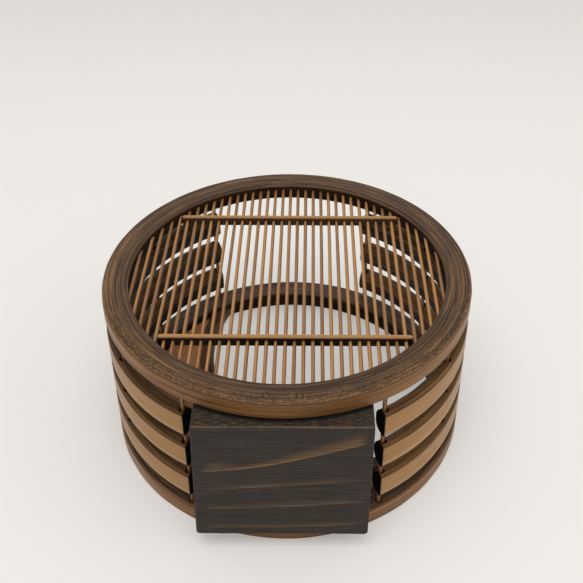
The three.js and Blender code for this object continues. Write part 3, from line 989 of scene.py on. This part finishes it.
def slat_bamboo(name, specular, sheen):
    """A split bamboo pole: cut and sanded outside, with its stained skin towards the inside of the drum."""
    tint = colours()
    graph = Material(name, specular, sheen=sheen)
    tone, shade, left_painted_shade = graph.mark("paint")
    face, bevel, rise = graph.mark("zone")
    lines = graph.streaks(12.0, 720.0, 11.0, 0.44, 0.58)
    fine = graph.streaks(30.0, 1900.0, 12.0, 0.45, 0.65)
    broad = graph.streaks(9.0, 260.0, 13.0, 0.38, 0.66)
    gold = graph.streaks(18.0, 700.0, 14.0, 0.5, 0.66)
    long_lines = graph.streaks(4.0, 330.0, 15.0, 0.46, 0.56)
    thin = graph.streaks(14.0, 900.0, 16.0, 0.46, 0.55)
    hairs = graph.streaks(10.0, 1700.0, 17.0, 0.46, 0.54)
    # The face is painted darker towards its top and lighter towards its lower edge, as painted shade and
    # light.
    upper = graph.slope(rise, 0.45, 0.85)
    darker = graph.strongest((upper, 0.45), (lines, 0.4), (tone, broad, 0.5), (left_painted_shade, 0.3))
    lighter = graph.slope(rise, -0.4, -0.8, 0.0, 0.35)
    outside = graph.stained(tint.slat_face, tint.slat_face_dark, FACE_LIGHT, darker, lighter)
    darker = graph.strongest((long_lines, 0.92), (thin, 0.92), (hairs, 0.9))
    skin = graph.stained(tint.slat_back, SKIN_BLACK, tint.slat_back_light, darker, graph.product(gold, 0.8))
    # The skin is painted lighter on its upper part and darker on its lower part, as painted light and shade.
    skin = graph.mix(graph.slope(rise, 0.2, 0.5, 0.0, 0.3), skin, tint.slat_back_light)
    skin = graph.mix(graph.slope(rise, 0.4, 0.05, 0.0, 0.6), skin, SKIN_BLACK)
    # The left slats' skin is painted darker still, as shade.
    skin = graph.mix(graph.product(left_painted_shade, 0.36), skin, SKIN_BLACK)
    from_middle = graph.math("ABSOLUTE", rise)
    past = graph.slope(from_middle, 0.83, 0.9)
    edge = graph.mix(graph.product(graph.largest(lines, hairs), 0.6), tint.slat_bevel, BEVEL_DARK)
    edge = graph.mix(past, edge, skin)
    edge = graph.mix(graph.product(past, graph.slope(from_middle, 0.96, 0.9), 0.4), edge, BEVEL_DARK)
    shown = graph.mix(face, graph.mix(bevel, skin, edge), outside)
    shown = graph.mix(shade, shown, HOLE_BLACK)
    polish = graph.eased(lines, 0.38, 0.52)
    return graph.finish(shown, graph.total(lines, fine), distance=0.00009, Roughness=polish)


def end_grain():
    """Charred end grain, with fine pores."""
    graph = Material("Slat end grain", 0.05, roughness=0.9)
    pores = graph.noise(1900.0, 2.0)
    shown = graph.mix(graph.slope(pores, 0.4, 0.7), colours().end_grain, PORE_LIGHT)
    return graph.finish(shown, pores, distance=0.0002)


def round_bamboo(name, seed):
    """Varnished round bamboo: its colour differs from bar to bar, with fine fibres; one side and the far end
    are painted darker, as shade.
    """
    tint = colours()
    graph = Material(name, 0.35, roughness=0.4, coat=0.08)
    tone, shade, along = graph.mark("paint")
    _, aside, _ = graph.mark("fibre")
    lines = graph.streaks(30.0, 1700.0, seed, 0.42, 0.66, straight=True)
    patches = graph.streaks(18.0, 200.0, seed + 1, 0.35, 0.7, straight=True)
    # One side of each bar, and its far end where it goes in, are painted darker, as shade.
    darker = graph.total(
        graph.slope(tone, 0.15, 1.0, 0.0, 0.5), graph.slope(aside, 0.0002, 0.0009, 0.0, 0.85),
        graph.product(lines, 0.25), graph.product(patches, 0.2), graph.slope(along, 0.9, 0.99, 0.0, 0.5),
    )
    darker = graph.math("MINIMUM", darker, 1.0)
    lighter = graph.product(patches, 0.15)
    shown = graph.stained(tint.stick, tint.stick_dark, STICK_LIGHT, darker, lighter, shade)
    return graph.finish(shown, lines, distance=0.00004)


def batten_bamboo():
    """A strip of bamboo on edge: golden skin on top, with a painted highlight towards its far side and
    painted shade towards its near side, near-black sides, and painted shade round the sticks.
    """
    tint = colours()
    graph = Material("Batten bamboo", 0.35, roughness=0.4, coat=0.05)
    lit, shade, _ = graph.mark("paint")
    top, across, _ = graph.mark("zone")
    lines = graph.streaks(26.0, 1600.0, 31.0, 0.42, 0.66)
    # The top is painted lighter towards its far side, as a highlight, and darker towards its near side, as
    # shade.
    darker = graph.largest(graph.product(lines, 0.4), graph.slope(across, -0.15, -1.0, 0.0, 0.8))
    skin = graph.mix(graph.slope(across, 0.2, 0.9, 0.0, 0.45), tint.batten_top, BATTEN_HIGHLIGHT)
    skin = graph.mix(darker, skin, tint.stick_dark)
    # The mouth-side batten's sides are painted lighter, as light.
    flank = graph.mix(graph.product(lit, 0.7), tint.batten_side, tint.strip)
    flank = graph.mix(graph.product(lines, 0.6), flank, BATTEN_LINES)
    # The hollows and a ring round each stick are painted near-black, as shade.
    flank = graph.mix(graph.largest(graph.stick_rims(BATTEN_RIM), shade), flank, BATTEN_HOLE)
    return graph.finish(graph.mix(top, flank, skin), lines, distance=0.00005)


def grain_line(graph, x, z, heights, line, fade, glow):
    """A streak along the grain: its height is a cubic of x through four heights at equal steps.

    It rises from 0 to 1 just below the line, falls to glow over twice the line's width above it, and to 0
    over fade.
    """
    low, high = corners("base_block")
    steps = np.linspace(low[0] + 0.004, high[0] - 0.004, len(heights))
    height, *terms = (float(term) for term in np.polyfit(steps, np.array(heights), 3))
    for term in terms:
        height = graph.math("MULTIPLY_ADD", x, height, term)
    above = graph.math("SUBTRACT", z, height)
    upward = graph.largest(graph.slope(above, 2 * line, 0.3 * line), graph.slope(above, fade, 0.0, 0.0, glow))
    return graph.product(graph.slope(above, -line, 0.0), upward)


# The block's fainter streaks: heights at four places from left to right, fading length and strength
BLOCK_STREAKS = (
    ((0.0519, 0.0554, 0.0585, 0.0614), 0.0045, 0.55),
    ((0.0359, 0.0373, 0.0396, 0.0427), 0.0055, 0.6),
    ((0.0180, 0.0192, 0.0203, 0.0231), 0.0040, 0.5),
)


def block_wood():
    """Charcoal-stained softwood: fine brushed grain along X, with light streaks where the stain took less."""
    tint = colours()
    graph = Material("Block wood", 0.25, roughness=0.62)
    x, y, z = graph.parts(graph.place())
    wander = graph.math("MULTIPLY_ADD", graph.noise(14.0, 2.0), 0.004, -0.002)
    grain = graph.join(x, 0.0, graph.total(z, wander, y))
    lines = graph.streaks(22.0, 700.0, 41.0, 0.43, 0.58, grain)
    fine = graph.streaks(60.0, 1500.0, 42.0, 0.46, 0.6, grain)
    broad = graph.streaks(8.0, 110.0, 43.0, 0.35, 0.7, grain)
    dashes = graph.streaks(200.0, 2100.0, 44.0, 0.5, 0.6, grain)
    wavering = graph.total(z, graph.product(wander, 0.35))
    rising = graph.slope(x, -0.02, 0.045, 0.0045, 0.0125)
    main = grain_line(graph, x, wavering, (0.0685, 0.0726, 0.0814, 0.0925), 0.0007, rising, 0.6)
    faint = [
        graph.product(grain_line(graph, x, wavering, heights, 0.0005, fade, 0.45), strength)
        for heights, fade, strength in BLOCK_STREAKS
    ]
    aside, upward = graph.math("MULTIPLY_ADD", x, 80.0, 2.8), graph.math("MULTIPLY_ADD", z, 230.0, -16.9)
    patch = graph.length(aside, 0.0, upward)
    streak = graph.largest(graph.product(main, 0.9), *faint, graph.slope(patch, 1.0, 0.35, 0.0, 0.4))
    patchy = graph.noise(26.0, 3.0)
    low, high = corners("base_block")
    rim = 0.0008
    front = graph.slope(y, low[1] + 2 * rim, low[1] + rim)
    inset = graph.slope(graph.math("ABSOLUTE", x), 0.049, 0.042)
    uneven = graph.product(graph.slope(patchy, 0.3, 0.62, 0.35, 0.85), graph.eased(lines, 1.0, 0.6))
    shown = graph.stained(
        tint.block, tint.block_dark, tint.block_streak, lighter=graph.product(streak, front, inset, uneven),
        darker=graph.product(graph.largest(lines, broad, fine), 0.75),
    )
    # The top is painted near-black, partly its own darker top and partly painted shade under the ring.
    above = graph.slope(z, high[2] - 0.0012, high[2] - 0.0004)
    shown = graph.mix(graph.product(above, 0.86), shown, BLOCK_TOP)
    shown = graph.mix(graph.product(above, dashes, 0.3), shown, tint.block_streak)
    # The front top edge is painted lighter, partly wear and partly a painted highlight where the eased edge
    # catches the light.
    arris = graph.product(graph.mark("paint")[2], graph.slope(patchy, 0.35, 0.6, 0.15, 0.45))
    shown = graph.mix(arris, shown, BLOCK_ARRIS)
    # Where the top meets the ring it is painted near-black, as a painted contact shadow.
    centre = drum_centre()
    offsets = (graph.math("SUBTRACT", part, float(own)) for part, own in zip((x, y), centre))
    away = graph.length(*offsets, 0.0)
    reach, full = 0.0026, 0.0009
    contact_shadow = graph.slope(away, sizes().ring_radius + reach, sizes().ring_radius + full)
    shown = graph.mix(graph.product(contact_shadow, above), shown, BLOCK_CONTACT_SHADOW)
    return graph.finish(shown, graph.weighted((lines, -1.0), (fine, -0.6)), distance=0.00016)


def strip_bamboo():
    """Dark stained bamboo of the window strip, with fine fibres."""
    tint = colours()
    graph = Material("Strip bamboo", 0.25)
    _, shade, _ = graph.mark("paint")
    lines = graph.streaks(24.0, 1400.0, 51.0, 0.42, 0.66)
    fine = graph.streaks(45.0, 3000.0, 52.0, 0.46, 0.68)
    darker, lighter = graph.product(lines, 0.7), graph.product(fine, 0.35)
    shown = graph.stained(tint.strip, tint.ring_inside, tint.slat_back_light, darker, lighter, shade)
    return graph.finish(shown, graph.total(lines, fine), distance=0.00006)


def peg_bamboo():
    """End grain of a bamboo peg: dark dots where the fibres are cut."""
    tint = colours()
    graph = Material("Peg bamboo", 0.25, roughness=0.6)
    inputs = {"Vector": graph.place(), "Scale": 2600.0}
    dots = graph.node("ShaderNodeTexVoronoi", inputs).outputs["Distance"]
    shown = graph.mix(graph.slope(dots, 0.42, 0.2), tint.ring_top, tint.ring_inside)
    return graph.finish(shown, dots, distance=0.00006)


def woven_bamboo():
    """Fine reddish strips woven two over, two under, each with its own tone, with painted shade beside the
    wall.
    """
    tint = colours()
    graph = Material("Woven bamboo", 0.3, roughness=0.55)
    slant = math.radians(-17.0)
    inputs = {"Vector": graph.place(), "Rotation": (0.0, 0.0, slant)}
    turned = graph.node("ShaderNodeMapping", inputs).outputs[0]
    weave = graph.group("Twill weave", place=turned, width=sizes().weave_width)
    fibres = graph.streaks(60.0, 3200.0, 61.0, 0.4, 0.66, weave["Run"])
    # Where a strip dips under another it is painted darker, as shade.
    darker = graph.largest(
        graph.slope(weave["Height"], 0.6, 0.2, 0.0, 0.6), graph.product(weave["Over"], 0.6),
        graph.slope(weave["Strip"], 0.3, 1.0, 0.0, 0.45),
    )
    shown = graph.stained(tint.panel, tint.panel_dark, WEAVE_LIGHT, darker, graph.product(fibres, 0.25))
    # Beside the left wall the weave is painted darker, as shade.
    x, y, _ = graph.parts(graph.place())
    wall_painted_shade = graph.product(
        graph.slope(y, 0.03, 0.0), graph.slope(y, -0.085, -0.015), graph.slope(x, -0.042, -0.08)
    )
    shown = graph.scaled(shown, graph.math("MULTIPLY_ADD", wall_painted_shade, -0.4, 1.0))
    return graph.finish(shown, graph.weighted((weave["Height"],), (fibres, 0.1)), distance=0.0005)


# Operators

class BASKET_OT_rear_ring(bpy.types.Operator):
    """Makes the rear ring, with holes for its two pegs"""

    bl_idname = "basket.rear_ring"
    bl_label = "Rear Ring"

    def execute(self, context):
        own = sizes()
        finishes = ring_finishes("Rear ring", 1.0, corners("rear_ring")[1][2] - own.lining_depth)
        made = ring_piece(
            "rear_ring", places(PEGS), own.peg_hole, own.peg_socket, top_edge=own.rim_edge, near_wear_and_darkening=1.0,
            lining_drop=own.lining_drop, tones=(1.0, 1.02, 1.02), materials=finishes, seed=3,
        )
        return {"FINISHED"}


class BASKET_OT_front_ring(bpy.types.Operator):
    """Makes the front ring, with sockets for the rods"""

    bl_idname = "basket.front_ring"
    bl_label = "Front Ring"

    def execute(self, context):
        own = sizes()
        finishes = ring_finishes("Front ring", 7.0, corners("front_ring")[1][2])
        # The front ring's top and right wall are painted darker and its left wall lighter, as painted shade
        # and light.
        made = ring_piece(
            "front_ring", places(RODS), own.rod_hole, own.rod_socket, top_edge=own.ring_edge, near_wear_and_darkening=0.25,
            lining_drop=0.0, tones=(0.86, 1.06, 0.88), materials=finishes, seed=21,
        )
        return {"FINISHED"}


class BASKET_OT_ring_pegs(bpy.types.Operator):
    """Makes the two pegs that show on the rear ring"""

    bl_idname = "basket.ring_pegs"
    bl_label = "Ring Pegs"

    def execute(self, context):
        bamboo = peg_bamboo()
        shape = {"stations": 12, "facets": 32, "bow": 0.0, "dome": 0.0004, "top_drop": 0.00005}
        for number, peg in enumerate(PEGS):
            made = round_bar(peg, 2, span(peg, 0) / 2, 70 + number, [bamboo], **shape)
        return {"FINISHED"}


class BASKET_OT_grille_sticks(bpy.types.Operator):
    """Makes the round sticks of the grille"""

    bl_idname = "basket.grille_sticks"
    bl_label = "Grille Sticks"

    def execute(self, context):
        bamboo = round_bamboo("Stick bamboo", 21.0)
        for number, stick in enumerate(STICKS):
            made = round_bar(stick, 1, sizes().stick_radius, 100 + number, [bamboo])
        return {"FINISHED"}


class BASKET_OT_battens(bpy.types.Operator):
    """Makes the two battens that the sticks are threaded through"""

    bl_idname = "basket.battens"
    bl_label = "Battens"

    def execute(self, context):
        bamboo = batten_bamboo()
        for number, batten in enumerate(BATTENS):
            made = batten_piece(batten, [bamboo], 5 + number)
        return {"FINISHED"}


class BASKET_OT_side_slats(bpy.types.Operator):
    """Makes the six bent slats of the side wall"""

    bl_idname = "basket.side_slats"
    bl_label = "Side Slats"

    def execute(self, context):
        face, skin = slat_bamboo("Slat face bamboo", 0.24, 0.09), slat_bamboo("Slat skin bamboo", 0.12, 0.0)
        materials = [face, end_grain(), skin]
        for number, slat in enumerate(SLATS):
            made = slat_piece(slat, 1 if "right" in slat else -1, materials, 40 + number)
        return {"FINISHED"}


class BASKET_OT_wall_rods(bpy.types.Operator):
    """Makes the upright rods that hold the slats"""

    bl_idname = "basket.wall_rods"
    bl_label = "Wall Rods"

    def execute(self, context):
        bamboo = round_bamboo("Rod bamboo", 25.0)
        shape = {"stations": 30, "facets": 20, "bow": 0.00005}
        for number, rod in enumerate(RODS):
            made = round_bar(rod, 2, sizes().rod_radius, 200 + number, [bamboo], **shape)
        return {"FINISHED"}


class BASKET_OT_base_block(bpy.types.Operator):
    """Makes the wooden block that the basket stands on in use"""

    bl_idname = "basket.base_block"
    bl_label = "Base Block"

    def execute(self, context):
        made = block_piece("base_block", [block_wood()])
        return {"FINISHED"}


class BASKET_OT_window_strip(bpy.types.Operator):
    """Makes the curved strip along the front window"""

    bl_idname = "basket.window_strip"
    bl_label = "Window Strip"

    def execute(self, context):
        made = strip_piece("window_strip", [strip_bamboo()])
        return {"FINISHED"}


class BASKET_OT_crescent_panel(bpy.types.Operator):
    """Makes the woven panel beside the front window"""

    bl_idname = "basket.crescent_panel"
    bl_label = "Crescent Panel"

    def execute(self, context):
        made = panel_piece("crescent_panel", [woven_bamboo()])
        return {"FINISHED"}


# Where each soft lamp stands, how wide it is, and its share of the lamps' power
LAMPS = {
    "overhead lamp": ((-0.1, -0.4, 1.4), 0.9, 0.75),
    "right lamp": ((1.3, -0.5, 1.1), 1.2, 0.25),
}


def placed(scene, name, data, place, axes):
    """A new object in the scene at that place, with those three directions for its own axes."""
    holder = bpy.data.objects.new(name, data)
    scene.collection.objects.link(holder)
    holder.matrix_world = Matrix.Translation(place) @ Matrix(np.column_stack(axes).tolist()).to_4x4()
    return holder


def seen_rays(graph):
    """1 for what the camera sees, itself or by a reflection or through glass."""
    rays = graph.node("ShaderNodeLightPath").outputs
    return graph.largest(rays["Is Camera Ray"], rays["Is Glossy Ray"], rays["Is Transmission Ray"])


class BASKET_OT_stage(bpy.types.Operator):
    """Sets up the pale floor, the soft light and the camera"""

    bl_idname = "basket.stage"
    bl_label = "Stage"

    def execute(self, context):
        scene = context.scene
        scene.view_settings.view_transform = "Standard"
        self.floor(scene, scene.basket_stage)
        self.light(scene, scene.basket_stage)
        self.camera(scene, scene.basket_stage)
        return {"FINISHED"}

    def floor(self, scene, stage):
        """A wide flat grid of pale paper, painted a little darker far back as shade, and seen lighter than it
        is lit.
        """
        side = np.linspace(-3, 3, 7)
        points = vectors(side[:, None], side, 0.0)
        mesh = bpy.data.meshes.new("floor")
        mesh.from_pydata(points.reshape(-1, 3).tolist(), [], open_faces(7, 7).tolist())
        graph = Material("Pale paper", 0.1, roughness=0.9)
        grain = graph.slope(graph.noise(900.0, 2.0), 0.3, 0.7, 0.0, 0.03)
        paper = graph.mix(grain, tuple(stage.floor), PAPER_GRAIN)
        # The paper is painted darker far back, as the light falling off.
        paper = graph.scaled(paper, graph.slope(graph.parts(graph.place())[1], 0.35, 1.1, 1.0, 0.86))
        graph.feed(graph.shader.inputs["Base Color"], paper)
        glow = graph.node("ShaderNodeEmission", {"Color": paper, "Strength": stage.glow})
        share = graph.product(seen_rays(graph), 0.4)
        both = graph.node("ShaderNodeMixShader", {0: share, 1: graph.shader.outputs[0], 2: glow.outputs[0]})
        graph.feed(graph.output.inputs["Surface"], both.outputs[0])
        mesh.materials.append(graph.material)
        floor = bpy.data.objects.new("floor", mesh)
        scene.collection.objects.link(floor)

    def light(self, scene, stage):
        """A light tent, brighter overhead, in front and on the right but seen evenly, and two soft lamps."""
        world = bpy.data.worlds.new("Soft studio")
        world.use_nodes = True
        world.node_tree.nodes.clear()
        graph = Graph(world.node_tree)
        way_x, way_y, way_z = graph.parts(graph.node("ShaderNodeTexCoord").outputs["Generated"])
        tent = graph.product(
            graph.slope(way_z, 0.05, 0.9, 0.5 * stage.sky, 1.25 * stage.sky),
            graph.math("MULTIPLY_ADD", way_y, -0.1, 1.0), graph.math("MULTIPLY_ADD", way_x, 0.1, 1.0),
        )
        seen = seen_rays(graph)
        kept = graph.math("SUBTRACT", 1.0, seen)
        tent = graph.math("MULTIPLY_ADD", tent, kept, graph.product(seen, stage.glow))
        sky = graph.node("ShaderNodeBackground", {"Color": SKY_WHITE, "Strength": tent})
        graph.node("ShaderNodeOutputWorld", {"Surface": sky.outputs[0]})
        scene.world = world
        for name, (place, width, share) in LAMPS.items():
            lamp = bpy.data.lights.new(name, "AREA")
            lamp.shape = "DISK"
            lamp.size = width
            lamp.energy = stage.lamp * share
            lamp.color = LAMP_WHITE
            back = np.array(place) / np.linalg.norm(place)
            aside = np.cross((0.0, 1.0, 0.2), back)
            aside /= np.linalg.norm(aside)
            placed(scene, name, lamp, place, (aside, np.cross(back, aside), back))

    def camera(self, scene, stage):
        """The photograph's own view. Its frame was cut off-centre, so the lens is shifted to match."""
        camera = bpy.data.cameras.new("Camera")
        camera.sensor_width = 36
        camera.lens = stage.lens
        camera.shift_x, camera.shift_y = stage.shift_x, stage.shift_y
        camera.clip_start = 0.01
        tilt, roll = stage.camera_tilt, stage.camera_roll
        right = np.array([1.0, 0.0, 0.0])
        up = np.array([0.0, math.sin(tilt), math.cos(tilt)])
        back = np.array([0.0, -math.cos(tilt), math.sin(tilt)])
        aside = math.cos(roll) * right - math.sin(roll) * up
        above = math.sin(roll) * right + math.cos(roll) * up
        place = (stage.camera_aside, drum_centre()[1] - stage.camera_back, stage.camera_height)
        scene.camera = placed(scene, "Camera", camera, place, (aside, above, back))


class BASKET_PT_panel(bpy.types.Panel):
    """Settings and pieces of the basket"""

    bl_label = "Ikebana Basket"
    bl_idname = "BASKET_PT_panel"
    bl_space_type = "VIEW_3D"
    bl_region_type = "UI"
    bl_category = "Basket"

    def draw(self, context):
        layout = self.layout
        for label, cls in SETTINGS.items():
            box = layout.box()
            box.label(text=cls.__doc__)
            for own in cls.__annotations__:
                box.prop(getattr(context.scene, label), own)
        for operator in OPERATORS:
            layout.operator(operator.bl_idname)


OPERATORS = (
    BASKET_OT_stage,
    BASKET_OT_front_ring,
    BASKET_OT_window_strip,
    BASKET_OT_crescent_panel,
    BASKET_OT_base_block,
    BASKET_OT_wall_rods,
    BASKET_OT_side_slats,
    BASKET_OT_rear_ring,
    BASKET_OT_ring_pegs,
    BASKET_OT_battens,
    BASKET_OT_grille_sticks,
)
SETTINGS = {"basket_sizes": BasketSizes, "basket_colours": BasketColours, "basket_stage": BasketStage}
CLASSES = (*SETTINGS.values(), *OPERATORS, BASKET_PT_panel)


def register():
    for cls in CLASSES:
        bpy.utils.register_class(cls)
    for label, cls in SETTINGS.items():
        setattr(bpy.types.Scene, label, bpy.props.PointerProperty(type=cls))


def unregister():
    for label in SETTINGS:
        delattr(bpy.types.Scene, label)
    for cls in reversed(CLASSES):
        bpy.utils.unregister_class(cls)


def main():
    register()
    for operator in OPERATORS:
        group, name = operator.bl_idname.split(".")
        getattr(getattr(bpy.ops, group), name)()
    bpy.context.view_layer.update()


if __name__ == "__main__":
    main()
